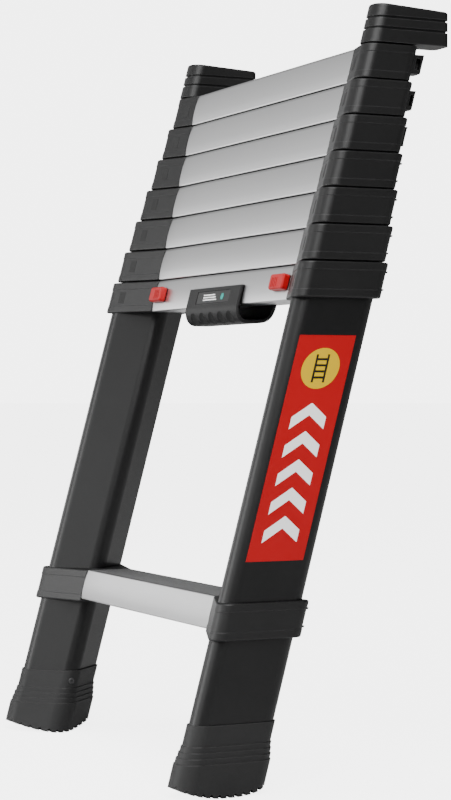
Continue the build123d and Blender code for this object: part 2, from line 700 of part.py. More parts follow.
def make_base_side():
    """Right-hand pieces of the base, as stem and tail of each name."""
    through = STEP_TOP_HEIGHT / COS + COLLAR_HEIGHT
    return {
        ("outer_tube", ""): make_tube("outer_tube", 1),
        ("collar", "_1"): make_collar(
            "collar", 1, tread_top(1), rung_end(1), RUNG_HEIGHT, tube_top(1)
        ),
        ("step_collar", ""): make_collar(
            "step_collar", 1, STEP_TOP_HEIGHT, STEP_HALF_LENGTH, STEP_HEIGHT, through
        ),
        ("foot", ""): make_foot("foot"),
        ("release_button", ""): make_button("release_button"),
    }


def make_section_side(section):
    """Right-hand pieces of a sliding section."""
    top, end_x = tread_top(section), rung_end(section)
    return {
        ("tube", f"_{section}"): make_tube("tube", section),
        ("collar", f"_{section}"): make_collar(
            "collar", section, top, end_x, RUNG_HEIGHT, tube_top(section)
        ),
        ("lock_bolt", f"_{section}"): make_bolt("lock_bolt", section),
    }


def main():
    """Makes every piece and writes it to a file of its own."""
    os.makedirs("parts", exist_ok=True)
    pieces = make_base()
    sided = make_base_side()
    for section in range(2, SECTIONS + 1):
        pieces.append(make_tread(f"rung_{section}", tread_top(section), RUNG_HEIGHT, rung_end(section)))
        sided.update(make_section_side(section))
    sided["top_tube", ""] = make_tube("top_tube", TOP_TUBE)
    sided["end_cap", ""] = make_cap("end_cap")
    for (stem, tail), piece in sided.items():
        pieces.append(mirrored(f"{stem}_left{tail}", piece))
        piece.label = f"{stem}_right{tail}"
        pieces.append(piece)
    for piece in pieces:
        export_step(piece, f"parts/{piece.label}.step")


main()
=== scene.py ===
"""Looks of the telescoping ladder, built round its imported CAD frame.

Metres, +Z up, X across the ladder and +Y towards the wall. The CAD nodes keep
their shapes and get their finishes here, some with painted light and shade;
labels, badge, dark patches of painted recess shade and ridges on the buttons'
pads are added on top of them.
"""

import logging
import math
from dataclasses import dataclass
from enum import Enum

import bmesh
import bpy
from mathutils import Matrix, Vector


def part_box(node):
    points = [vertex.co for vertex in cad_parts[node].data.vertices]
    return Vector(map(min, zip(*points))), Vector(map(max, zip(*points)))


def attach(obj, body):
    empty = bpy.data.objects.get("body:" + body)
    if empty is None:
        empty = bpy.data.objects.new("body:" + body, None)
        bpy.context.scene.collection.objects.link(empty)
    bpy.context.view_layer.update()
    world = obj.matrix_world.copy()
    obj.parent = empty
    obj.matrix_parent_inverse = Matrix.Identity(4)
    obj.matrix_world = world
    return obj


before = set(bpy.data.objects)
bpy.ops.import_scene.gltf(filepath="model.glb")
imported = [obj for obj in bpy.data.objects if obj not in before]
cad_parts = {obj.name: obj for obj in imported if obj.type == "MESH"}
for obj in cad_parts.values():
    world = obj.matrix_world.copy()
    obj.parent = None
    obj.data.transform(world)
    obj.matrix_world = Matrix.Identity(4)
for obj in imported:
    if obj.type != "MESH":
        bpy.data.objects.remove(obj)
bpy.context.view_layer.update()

LOG = logging.getLogger("ladder")
MM = 0.001
SECTIONS = 7
Triple = tuple[float, float, float]
Limits = tuple[float, float]
Colour = Triple

# Where a noise's values mostly lie, and how finely the two noises are detailed.
NOISE_SPREAD: Limits = (0.3, 0.7)
PATCH_DETAIL = 3.0
GRAIN_DETAIL = 2.0
BUMP_STRENGTH = 0.6
BEVEL_SAMPLES = 4
# Paler edges, painted highlight and partly scuffing: the cosine between face and rounded normal, and the
# share of paler colour it gives.
TURN_SPREAD: Limits = (0.99, 0.8)
TURN_SHEEN_AND_SCUFF: Limits = (0.0, 0.75)
SHEEN_AND_SCUFF_SCALE = 180.0
SHEEN_AND_SCUFF_PATCHES: Limits = (0.35, 1.0)
# Painted crevice shade: how open a place is, and the share of its colour that it keeps.
CREVICE_SAMPLES = 8
OPEN_SPREAD: Limits = (0.25, 0.85)
OPEN_TONE: Limits = (0.12, 1.0)


class Side(Enum):
    """Which stile a piece belongs to, with the sign of its X."""

    LEFT = ("left", -1)
    RIGHT = ("right", 1)

    @property
    def word(self) -> str:
        """The side's word in node and body names."""
        return self.value[0]

    @property
    def sign(self) -> int:
        """The sign of X on this side."""
        return self.value[1]


@dataclass(frozen=True)
class Leaning:
    """The leaning stile's directions, placed from the outer tube's box."""

    angle: float = math.radians(15)
    tube_front: float = -20.3 * MM
    tube_rear: float = 54.0 * MM

    @property
    def up(self) -> Vector:
        """Direction up the stile."""
        return Vector((0, math.sin(self.angle), math.cos(self.angle)))

    @property
    def front(self) -> Vector:
        """Direction square out of the treads' front faces."""
        return Vector((0, -math.cos(self.angle), math.sin(self.angle)))

    @property
    def origin_y(self) -> float:
        """Y of the treads' front line at floor height.

        Returns:
            The Y, worked out from the outer tube's lowest, foremost corner.
        """
        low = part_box("outer_tube_right")[0]
        cos, sin = math.cos(self.angle), math.sin(self.angle)
        bottom = (low.z + self.tube_rear * sin) / cos
        return low.y - self.tube_front * cos - bottom * sin

    def at(self, x: float, depth: float, height: float) -> Vector:
        """A place by its X, its depth behind the treads' fronts, and its height.

        Args:
            x: distance across the ladder.
            depth: distance behind the treads' front faces, square to the stile.
            height: height above the floor.

        Returns:
            The place in the row frame.
        """
        y = self.origin_y + depth / math.cos(self.angle) + height * math.tan(self.angle)
        return Vector((x, y, height))


class Graph:
    """A node tree being built for one material."""

    def __init__(self, name: str) -> None:
        """Starts a material with an empty node tree.

        Args:
            name: the material's name.
        """
        self.material = bpy.data.materials.new(name)
        self.material.use_nodes = True
        self.tree = self.material.node_tree
        self.tree.nodes.clear()
        self.shader = self.add("ShaderNodeBsdfPrincipled")
        output = self.add("ShaderNodeOutputMaterial")
        self.join(self.shader, "BSDF", output, "Surface")
        self.place = self.add("ShaderNodeTexCoord")

    def add(self, kind: str, **values: object) -> bpy.types.Node:
        """Adds a node and sets its properties.

        Args:
            kind: the node's type name.
            values: properties of the node, by name.

        Returns:
            The node.
        """
        node = self.tree.nodes.new(kind)
        for name, value in values.items():
            setattr(node, name, value)
        return node

    def join(self, source: bpy.types.Node, out: str, target: bpy.types.Node, into: str) -> None:
        """Links one node's output to another's input, which is named by its identifier."""
        socket = next(item for item in target.inputs if into == item.identifier)
        self.tree.links.new(source.outputs[out], socket)

    def noise(self, scale: float, detail: float, stretch: Triple = (1, 1, 1)) -> bpy.types.Node:
        """Adds a noise on object coordinates.

        Args:
            scale: features per metre.
            detail: octaves of finer noise.
            stretch: scale along each axis; a small value draws the noise out.

        Returns:
            The noise node.
        """
        mapping = self.add("ShaderNodeMapping")
        mapping.inputs["Scale"].default_value = stretch
        self.join(self.place, "Object", mapping, "Vector")
        noise = self.add("ShaderNodeTexNoise")
        noise.inputs["Scale"].default_value = scale
        noise.inputs["Detail"].default_value = detail
        self.join(mapping, "Vector", noise, "Vector")
        return noise

    def spread(self, source: bpy.types.Node, out: str, before: Limits, after: Limits) -> bpy.types.Node:
        """Maps a value from one range to another, clamped.

        Args:
            source: the node that gives the value.
            out: its output's name.
            before: the two values that are mapped.
            after: what they become.

        Returns:
            The map range node, whose output is named Result.
        """
        node = self.add("ShaderNodeMapRange")
        node.inputs["From Min"].default_value, node.inputs["From Max"].default_value = before
        node.inputs["To Min"].default_value, node.inputs["To Max"].default_value = after
        self.join(source, out, node, "Value")
        return node

    def reckon(self, operation: str, source: bpy.types.Node, out: str, by: float) -> bpy.types.Node:
        """Reckons with a value and a constant.

        Args:
            operation: the sum to do.
            source: the node that gives the value.
            out: its output's name.
            by: the constant.

        Returns:
            The math node, whose output is named Value.
        """
        node = self.add("ShaderNodeMath", operation=operation)
        node.inputs[1].default_value = by
        self.join(source, out, node, "Value")
        return node

    def multiply(self, tint: bpy.types.Node, source: bpy.types.Node, out: str) -> bpy.types.Node:
        """Multiplies a colour by another node's output.

        Args:
            tint: the node that gives the colour.
            source: the node that gives the factor.
            out: its output's name.

        Returns:
            The mix node, whose colour output is named Color.
        """
        node = self.add("ShaderNodeMixRGB", blend_type="MULTIPLY")
        node.inputs["Fac"].default_value = 1.0
        self.join(tint, "Color", node, "Color1")
        self.join(source, out, node, "Color2")
        return node

    def rounded(self, radius: float) -> bpy.types.Node:
        """Adds a node that gives the normal as if edges were rounded.

        Args:
            radius: the rounding's radius.

        Returns:
            The bevel node, whose output is named Normal.
        """
        node = self.add("ShaderNodeBevel", samples=BEVEL_SAMPLES)
        node.inputs["Radius"].default_value = radius
        return node

    def mix(self, factor: bpy.types.Node, out: str, first: Colour, second: Colour) -> bpy.types.Node:
        """Mixes two colours by a factor.

        Args:
            factor: the node that gives the factor.
            out: its output's name.
            first: colour where the factor is 0.
            second: colour where the factor is 1.

        Returns:
            The mix node, whose colour output is named Color.
        """
        node = self.add("ShaderNodeMixRGB")
        node.inputs["Color1"].default_value = (*first, 1)
        node.inputs["Color2"].default_value = (*second, 1)
        self.join(factor, out, node, "Fac")
        return node


@dataclass(frozen=True)
class Finish:
    """A finish whose colour and gloss wander a little, over a fine relief.

    grain and wander are features per metre, and depth is the relief in metres.
    edge is the radius that edges seem rounded by, worn the paler colour that shows
    along them as painted highlight and partly scuffing, and grime the reach in metres
    of the shade painted into crevices.
    """

    name: str
    colour: Colour
    shade: Colour
    gloss: Limits
    grain: float = 2500.0
    depth: float = 0.00004
    wander: float = 14.0
    metallic: float = 0.0
    specular: float = 0.5
    edge: float = 0.0005
    stretch: Triple = (1, 1, 1)
    edge_sheen_and_scuff: Colour | None = None
    painted_crevice_shade: float = 0.0

    def build(self) -> bpy.types.Material:
        """Builds the material.

        Returns:
            The material, ready to be put on a piece.
        """
        graph = Graph(self.name)
        shader = graph.shader
        shader.inputs["Metallic"].default_value = self.metallic
        shader.inputs["Specular IOR Level"].default_value = self.specular
        patches = graph.noise(self.wander, PATCH_DETAIL, self.stretch)
        level = graph.spread(patches, "Fac", NOISE_SPREAD, (0.0, 1.0))
        tint = graph.mix(level, "Result", self.colour, self.shade)
        tint = self.edged(graph, self.tinted(graph, tint))
        graph.join(self.crevice_shaded(graph, tint), "Color", shader, "Base Color")
        fine = graph.noise(self.grain, GRAIN_DETAIL, self.stretch)
        gloss = graph.spread(fine, "Fac", NOISE_SPREAD, self.gloss)
        graph.join(gloss, "Result", shader, "Roughness")
        bump = graph.add("ShaderNodeBump")
        bump.inputs["Strength"].default_value = BUMP_STRENGTH
        bump.inputs["Distance"].default_value = self.depth
        graph.join(fine, "Fac", bump, "Height")
        if self.edge:
            graph.join(graph.rounded(self.edge), "Normal", bump, "Normal")
        graph.join(bump, "Normal", shader, "Normal")
        return graph.material

    def tinted(self, graph: Graph, tint: bpy.types.Node) -> bpy.types.Node:
        """The node that gives the face's colour; a plain finish keeps its own."""
        return tint

    def edged(self, graph: Graph, tint: bpy.types.Node) -> bpy.types.Node:
        """Paints a paler highlight along the edges, partly scuffing.

        Args:
            graph: the material's graph.
            tint: the node that gives the colour so far.

        Returns:
            The node that gives the worn colour.
        """
        if self.edge_sheen_and_scuff is None:
            return tint
        # The paler edges are painted highlight, partly scuffed paint.
        facing = graph.add("ShaderNodeNewGeometry")
        dot = graph.add("ShaderNodeVectorMath", operation="DOT_PRODUCT")
        graph.join(graph.rounded(self.edge * 2), "Normal", dot, "Vector")
        graph.join(facing, "Normal", dot, "Vector_001")
        edge_share = graph.spread(dot, "Value", TURN_SPREAD, TURN_SHEEN_AND_SCUFF)
        patchy = graph.spread(graph.noise(SHEEN_AND_SCUFF_SCALE, PATCH_DETAIL), "Fac", NOISE_SPREAD, SHEEN_AND_SCUFF_PATCHES)
        sheen_and_scuff_share = graph.add("ShaderNodeMath", operation="MULTIPLY")
        graph.join(edge_share, "Result", sheen_and_scuff_share, "Value")
        graph.join(patchy, "Result", sheen_and_scuff_share, "Value_001")
        paler = graph.mix(sheen_and_scuff_share, "Value", self.colour, self.edge_sheen_and_scuff)
        graph.join(tint, "Color", paler, "Color1")
        return paler

    def crevice_shaded(self, graph: Graph, tint: bpy.types.Node) -> bpy.types.Node:
        """Paints shade into the crevices, darkening the colour where little light reaches.

        Args:
            graph: the material's graph.
            tint: the node that gives the colour so far.

        Returns:
            The node that gives the colour with its painted crevice shade.
        """
        if not self.painted_crevice_shade:
            return tint
        # Ambient occlusion darkens the colour here: painted shade in crevices.
        hollow = graph.add("ShaderNodeAmbientOcclusion", samples=CREVICE_SAMPLES)
        hollow.inputs["Distance"].default_value = self.painted_crevice_shade
        kept = graph.spread(hollow, "AO", OPEN_SPREAD, OPEN_TONE)
        return graph.multiply(tint, kept, "Result")


@dataclass(frozen=True)
class ShadeTopped(Finish):
    """Aluminium whose upward faces are painted dark and not metallic, as painted shade on its top.

    grip is the painted shade's colour, and a face whose normal's Z is over upward has it.
    """

    top_shade: Colour = (0.085, 0.085, 0.087)
    upward: float = 0.8

    def tinted(self, graph: Graph, tint: bpy.types.Node) -> bpy.types.Node:
        """Paints shade on what faces upwards.

        Args:
            graph: the material's graph.
            tint: the node that gives the bare metal's colour.

        Returns:
            The node that gives the colour with painted shade on top.
        """
        # Upward faces get a dark, non-metallic colour: painted shade on the step's top.
        facing = graph.add("ShaderNodeNewGeometry")
        split = graph.add("ShaderNodeSeparateXYZ")
        graph.join(facing, "Normal", split, "Vector")
        upward = graph.reckon("GREATER_THAN", split, "Z", self.upward)
        top_shaded = graph.mix(upward, "Value", self.colour, self.top_shade)
        graph.join(tint, "Color", top_shaded, "Color1")
        graph.join(upward, "Value", top_shaded, "Fac")
        bare = graph.add("ShaderNodeMath", operation="SUBTRACT")
        bare.inputs[0].default_value = 1.0
        graph.join(upward, "Value", bare, "Value_001")
        graph.join(bare, "Value", graph.shader, "Metallic")
        return top_shaded


@dataclass(frozen=True)
class PaintedRungShading(Finish):
    """Drawn aluminium with painted light and shade: its tone runs from dull at a rung's upper edge to bright
    at its lower edge.

    marks are shares of the rungs' pitch, counted upwards: painted bright up to the first,
    dull at the third, and down to the rim's share of dull, a painted dark rim, at the last.
    """

    dull: float = 0.8
    bright: float = 1.28
    rim: float = 0.45
    marks: tuple[float, float, float, float] = (0.06, 0.3, 0.89, 0.96)

    def tinted(self, graph: Graph, tint: bpy.types.Node) -> bpy.types.Node:
        """Paints light and shade on each rung, from its upper to its lower edge.

        Args:
            graph: the material's graph.
            tint: the node that gives the metal's colour.

        Returns:
            The node that gives the shaded colour.
        """
        # The ramp below is painted light and shade, not the metal's own tone.
        first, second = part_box("rung_1"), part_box("rung_2")
        pitch = second[0].z - first[0].z
        split = graph.add("ShaderNodeSeparateXYZ")
        graph.join(graph.place, "Object", split, "Vector")
        risen = graph.reckon("SUBTRACT", split, "Z", first[0].z - pitch)
        within = graph.reckon("MODULO", risen, "Value", pitch)
        share = graph.reckon("DIVIDE", within, "Value", pitch)
        level = graph.add("ShaderNodeValToRGB")
        stops = level.color_ramp.elements
        stops[0].position, stops[1].position = self.marks[0], self.marks[-1]
        for mark in self.marks[1:-1]:
            stops.new(mark)
        values = (self.bright, 0.5 * (self.dull + self.bright), self.dull, self.dull * self.rim)
        for stop, value in zip(stops, values):
            stop.color = (value, value, value, 1)
        graph.join(share, "Value", level, "Fac")
        return graph.multiply(tint, level, "Color")


class Finishes:
    """Every finish of the ladder, built once."""

    def __init__(self) -> None:
        """Builds the materials."""
        # A paler colour along edges: painted highlight, partly scuffed paint.
        edge_sheen_and_scuff = (0.05, 0.05, 0.052)
        self.paint = Finish(
            "satin_black_coating", (0.003, 0.003, 0.0032), (0.005, 0.005, 0.0052), (0.3, 0.4),
            grain=900, depth=0.00003, specular=0.34, edge_sheen_and_scuff=edge_sheen_and_scuff, painted_crevice_shade=0.004,
        ).build()
        self.collar = Finish(
            "moulded_black_plastic", (0.003, 0.003, 0.0031), (0.0055, 0.0055, 0.0056), (0.36, 0.48),
            depth=0.00005, specular=0.4, edge=0.0007, edge_sheen_and_scuff=edge_sheen_and_scuff, painted_crevice_shade=0.004,
        ).build()
        self.handle = Finish(
            "handle_plastic", (0.003, 0.003, 0.0031), (0.005, 0.005, 0.0052), (0.4, 0.52),
            depth=0.00006, specular=0.22, edge=0.0007, edge_sheen_and_scuff=edge_sheen_and_scuff, painted_crevice_shade=0.004,
        ).build()
        self.rubber = Finish(
            "black_rubber", (0.005, 0.005, 0.0052), (0.0095, 0.0095, 0.0097), (0.45, 0.62),
            grain=1500, depth=0.00008, specular=0.4, edge=0.0008,
            edge_sheen_and_scuff=(0.035, 0.035, 0.035), painted_crevice_shade=0.005,
        ).build()
        metal = dict(
            grain=1500.0, depth=0.000004, wander=40.0, metallic=1.0,
            stretch=(0.04, 1, 1), edge=0.0006, painted_crevice_shade=0.0045,
        )
        bare = (0.7, 0.7, 0.705)
        # The rungs carry painted light and shade along each rung's height.
        self.rung = PaintedRungShading("drawn_aluminium_painted_shading", bare, (0.66, 0.661, 0.665), (0.28, 0.33), **metal).build()
        # The step's top carries painted shade.
        self.step = ShadeTopped("step_aluminium", bare, (0.64, 0.641, 0.645), (0.34, 0.42), **metal).build()
        self.button = Finish(
            "red_plastic", (0.42, 0.002, 0.005), (0.36, 0.002, 0.004), (0.34, 0.46),
            grain=1800, specular=0.3, edge_sheen_and_scuff=(0.5, 0.03, 0.03), painted_crevice_shade=0.003,
        ).build()
        self.steel = Finish(
            "turned_steel", (0.5, 0.5, 0.51), (0.42, 0.42, 0.43), (0.25, 0.4),
            metallic=1.0, stretch=(1, 0.1, 0.1),
        ).build()
        self.oxide = Finish(
            "black_oxide", (0.02, 0.02, 0.021), (0.03, 0.03, 0.031), (0.35, 0.5),
            wander=300, edge_sheen_and_scuff=edge_sheen_and_scuff, painted_crevice_shade=0.002,
        ).build()
        print_look = dict(grain=1200.0, depth=0.00001, specular=0.3, edge=0.0)
        self.film = Finish(
            "red_film", (0.38, 0.0, 0.003), (0.35, 0.0, 0.003), (0.34, 0.42), **print_look
        ).build()
        self.white = Finish(
            "white_print", (0.95, 0.95, 0.95), (0.92, 0.92, 0.92), (0.36, 0.44), **print_look
        ).build()
        self.yellow = Finish(
            "yellow_print", (0.62, 0.4, 0.0), (0.58, 0.37, 0.0), (0.36, 0.44), **print_look
        ).build()
        self.ink = Finish(
            "black_print", (0.006, 0.006, 0.006), (0.01, 0.01, 0.01), (0.3, 0.4), **print_look
        ).build()
        self.teal = Finish(
            "teal_print", (0.0, 0.3, 0.26), (0.0, 0.26, 0.22), (0.3, 0.4), **print_look
        ).build()
        # Near-black: painted shade of a recess, for the collars' patches.
        self.void = Finish("painted_recess_shade", (0.002, 0.002, 0.002), (0.004, 0.004, 0.004), (0.6, 0.8)).build()


def dress(node: str, material: bpy.types.Material) -> None:
    """Puts a finish on a CAD node.

    Args:
        node: the node's name.
        material: the finish.
    """
    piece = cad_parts[node]
    for place in piece.material_slots:
        place.material = material
    if not piece.material_slots:
        piece.data.materials.append(material)


def linked(name: str, data: bpy.types.ID) -> bpy.types.Object:
    """Adds an object to the scene.

    Args:
        name: the object's name.
        data: its mesh, camera or light.

    Returns:
        The new object, at the origin.
    """
    added = bpy.data.objects.new(name, data)
    bpy.context.scene.collection.objects.link(added)
    return added


def turned(thing: bpy.types.Object, direction: Vector) -> None:
    """Turns a camera or a light to look along a direction."""
    thing.rotation_mode = "QUATERNION"
    thing.rotation_quaternion = direction.to_track_quat("-Z", "Y")


def add_piece(
    name: str, mesh: bmesh.types.BMesh, material: bpy.types.Material, body: str
) -> bpy.types.Object:
    """Turns a bmesh into a piece that rides on a body.

    Args:
        name: the piece's name.
        mesh: its shape, in the row frame; it is freed here.
        material: its finish.
        body: the CAD body it moves with.

    Returns:
        The new object, at the origin.
    """
    bmesh.ops.recalc_face_normals(mesh, faces=mesh.faces[:])
    data = bpy.data.meshes.new(name)
    mesh.to_mesh(data)
    mesh.free()
    data.materials.append(material)
    piece = linked(name, data)
    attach(piece, body)
    return piece


def rectangle(centre: Vector, across: Vector, rise: Vector) -> list[Vector]:
    """Corners in order of a rectangle, from its middle and its two half sides."""
    return [centre - across - rise, centre + across - rise, centre + across + rise, centre - across + rise]


def raised(outline: list[Vector], lift: Vector, bevel: float = 0.0) -> bmesh.types.BMesh:
    """A flat shape given a thickness.

    Args:
        outline: its corners in order, on the surface it lies on.
        lift: the direction and thickness it stands out by.
        bevel: rounding of the outer rim; 0 leaves it sharp.

    Returns:
        The closed bmesh.
    """
    mesh = bmesh.new()
    base = mesh.faces.new([mesh.verts.new(corner) for corner in outline])
    grown = bmesh.ops.extrude_face_region(mesh, geom=[base])
    top = [item for item in grown["geom"] if isinstance(item, bmesh.types.BMVert)]
    bmesh.ops.translate(mesh, verts=top, vec=lift)
    bmesh.ops.recalc_face_normals(mesh, faces=mesh.faces[:])
    if bevel:
        rim = [edge for edge in mesh.edges if all(vert in top for vert in edge.verts)]
        bmesh.ops.bevel(
            mesh, geom=rim, offset=bevel, segments=2, profile=0.5,
            affect="EDGES", material=-1, clamp_overlap=True,
        )
    return mesh


@dataclass
class StileTubes:
    """The nested stile tubes, all in the same black coating."""

    sections: int = SECTIONS

    def build(self, finishes: Finishes) -> None:
        """Dresses every tube.

        Args:
            finishes: every finish.
        """
        for side in Side:
            dress(f"outer_tube_{side.word}", finishes.paint)
            dress(f"top_tube_{side.word}", finishes.paint)
            for section in range(2, self.sections + 1):
                dress(f"tube_{side.word}_{section}", finishes.paint)


@dataclass
class Rungs:
    """The hollow aluminium rungs and the bottom step."""

    sections: int = SECTIONS

    def build(self, finishes: Finishes) -> None:
        """Dresses the rungs and the step.

        Args:
            finishes: every finish.
        """
        for section in range(1, self.sections + 1):
            dress(f"rung_{section}", finishes.rung)
        dress("bottom_step", finishes.step)


@dataclass
class Collars:
    """The collars, each with a small dark patch on its slanted front, painted shade standing in for a recess.
    """

    leaning: Leaning
    sections: int = SECTIONS
    patch_width: float = 8.0 * MM
    patch_height: float = 12.0 * MM
    patch_thick: float = 0.12 * MM
    patch_inset: float = 26.0 * MM
    reach: float = 0.2

    def recess_patch(self, side: Side, section: int) -> bmesh.types.BMesh:
        """The dark patch of one collar, painted recess shade laid on its slanted front.

        Args:
            side: which stile.
            section: which section; 1 is the lowest.

        Returns:
            The patch's bmesh.
        """
        node = f"collar_{side.word}_{section}"
        low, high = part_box(node)
        outer = max(abs(low.x), abs(high.x))
        middle = (low + high) / 2
        start = Vector((side.sign * (outer - self.patch_inset), low.y - self.reach, middle.z))
        _, place, normal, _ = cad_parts[node].ray_cast(start, Vector((0, 1, 0)))
        across = self.leaning.up.cross(normal).normalized() * self.patch_width / 2
        rise = self.leaning.up * self.patch_height / 2
        return raised(rectangle(place, across, rise), normal * self.patch_thick, self.patch_thick / 3)

    def build(self, finishes: Finishes) -> None:
        """Dresses the collars and adds their patches of painted recess shade.

        Args:
            finishes: every finish.
        """
        for side in Side:
            dress(f"step_collar_{side.word}", finishes.collar)
            for section in range(1, self.sections + 1):
                dress(f"collar_{side.word}_{section}", finishes.collar)
                body = "base" if section == 1 else f"section_{section}"
                name = f"recess_shade_patch_{side.word}_{section}"
                # A flat near-black sheet: painted shade where a recess would be.
                recess_patch = add_piece(name, self.recess_patch(side, section), finishes.void, body)


@dataclass
class Locks:
    """Lock bolts and release buttons; the buttons get ridges on their pads for a finger's hold.

    rounding is the share of a ridge's thickness that its rim is rounded by.
    """

    leaning: Leaning
    sections: int = SECTIONS
    ridges: int = 4
    ridge_pitch: float = 3.0 * MM
    ridge_width: float = 1.2 * MM
    ridge_height: float = 9.0 * MM
    ridge_thick: float = 0.5 * MM
    rounding: float = 0.45
    pad_middle: float = 127.5 * MM
    pad_depth: float = -7.65 * MM
    pad_height: float = 437.6 * MM

    def ridge(self, side: Side, index: int) -> bmesh.types.BMesh:
        """One upright ridge on a button's pad.

        Args:
            side: which button.
            index: the ridge, counted outwards.

        Returns:
            The ridge's bmesh.
        """
        up, front = self.leaning.up, self.leaning.front
        x = side.sign * (self.pad_middle + index * self.ridge_pitch)
        centre = self.leaning.at(x, self.pad_depth, self.pad_height)
        across = Vector((self.ridge_width / 2, 0, 0))
        rise = up * self.ridge_height / 2
        corners = rectangle(centre, across, rise)
        return raised(corners, front * self.ridge_thick, self.ridge_thick * self.rounding)

    def build(self, finishes: Finishes) -> None:
        """Dresses bolts and buttons, and adds the ridges.

        Args:
            finishes: every finish.
        """
        for side in Side:
            dress(f"release_button_{side.word}", finishes.button)
            for index in range(self.ridges):
                name = f"button_ridge_{side.word}_{index + 1}"
                piece = add_piece(name, self.ridge(side, index), finishes.button, f"release_{side.word}")
            for section in range(2, self.sections + 1):
                dress(f"lock_bolt_{side.word}_{section}", finishes.steel)


@dataclass
class Ends:
    """End caps, feet and the feet's screws."""

    def build(self, finishes: Finishes) -> None:
        """Dresses the pieces at the stiles' ends.

        Args:
            finishes: every finish.
        """
        for side in Side:
            dress(f"end_cap_{side.word}", finishes.collar)
            dress(f"foot_{side.word}", finishes.rubber)
        dress("foot_screws", finishes.oxide)


@dataclass
class Handle:
    """The carry handle and the small badge in its sunk panel."""

    leaning: Leaning
    plate_depth: float = -4.25 * MM
    sink: float = 0.6 * MM
    panel_middle: float = 429.5 * MM
    badge_width: float = 72.0 * MM
    badge_height: float = 11.4 * MM
    badge_thick: float = 0.3 * MM
    bars: int = 3
    bar_height: float = 1.1 * MM
    bar_pitch: float = 2.4 * MM
    bar_start: float = -22.0 * MM
    bar_end: float = 8.0 * MM
    dot_x: float = 20.0 * MM
    dot_radius: float = 3.4 * MM
    dot_sides: int = 6

    def panel(self, left: float, right: float, low: float, high: float, lift: float) -> list[Vector]:
        """Corners of an upright rectangle in the badge's panel.

        Args:
            left: X of its left edge.
            right: X of its right edge.
            low: distance of its lower edge from the panel's middle, up the stile.
            high: distance of its upper edge.
            lift: distance in front of the panel's floor.

        Returns:
            The four corners in order.
        """
        front, up = self.leaning.front, self.leaning.up
        middle = self.leaning.at(0, self.plate_depth + self.sink, self.panel_middle) + front * lift
        corners = ((left, low), (right, low), (right, high), (left, high))
        return [middle + Vector((x, 0, 0)) + up * rise for x, rise in corners]

    def build(self, finishes: Finishes) -> None:
        """Dresses the handle and adds the badge with its generic marks.

        Args:
            finishes: every finish.
        """
        dress("carry_handle", finishes.handle)
        front = self.leaning.front
        half_width, half_height = self.badge_width / 2, self.badge_height / 2
        whole = self.panel(-half_width, half_width, -half_height, half_height, 0)
        plate = raised(whole, front * self.badge_thick, self.badge_thick / 3)
        add_piece("badge_plate", plate, finishes.ink, "base")
        for index in range(self.bars):
            middle = (index - (self.bars - 1) / 2) * self.bar_pitch
            low, high = middle - self.bar_height / 2, middle + self.bar_height / 2
            end = self.bar_end - index * self.bar_pitch
            corners = self.panel(self.bar_start, end, low, high, self.badge_thick)
            bar = raised(corners, front * self.badge_thick / 3)
            add_piece(f"badge_bar_{index + 1}", bar, finishes.white, "base")
        centre = sum(self.panel(self.dot_x, self.dot_x, 0, 0, self.badge_thick), Vector()) / 4
        ring = []
        for step in range(self.dot_sides):
            turn = math.tau * step / self.dot_sides
            across = Vector((math.cos(turn), 0, 0)) * self.dot_radius
            ring.append(centre + across + self.leaning.up * math.sin(turn) * self.dot_radius)
        add_piece("badge_dot", raised(ring, front * self.badge_thick / 3), finishes.teal, "base")


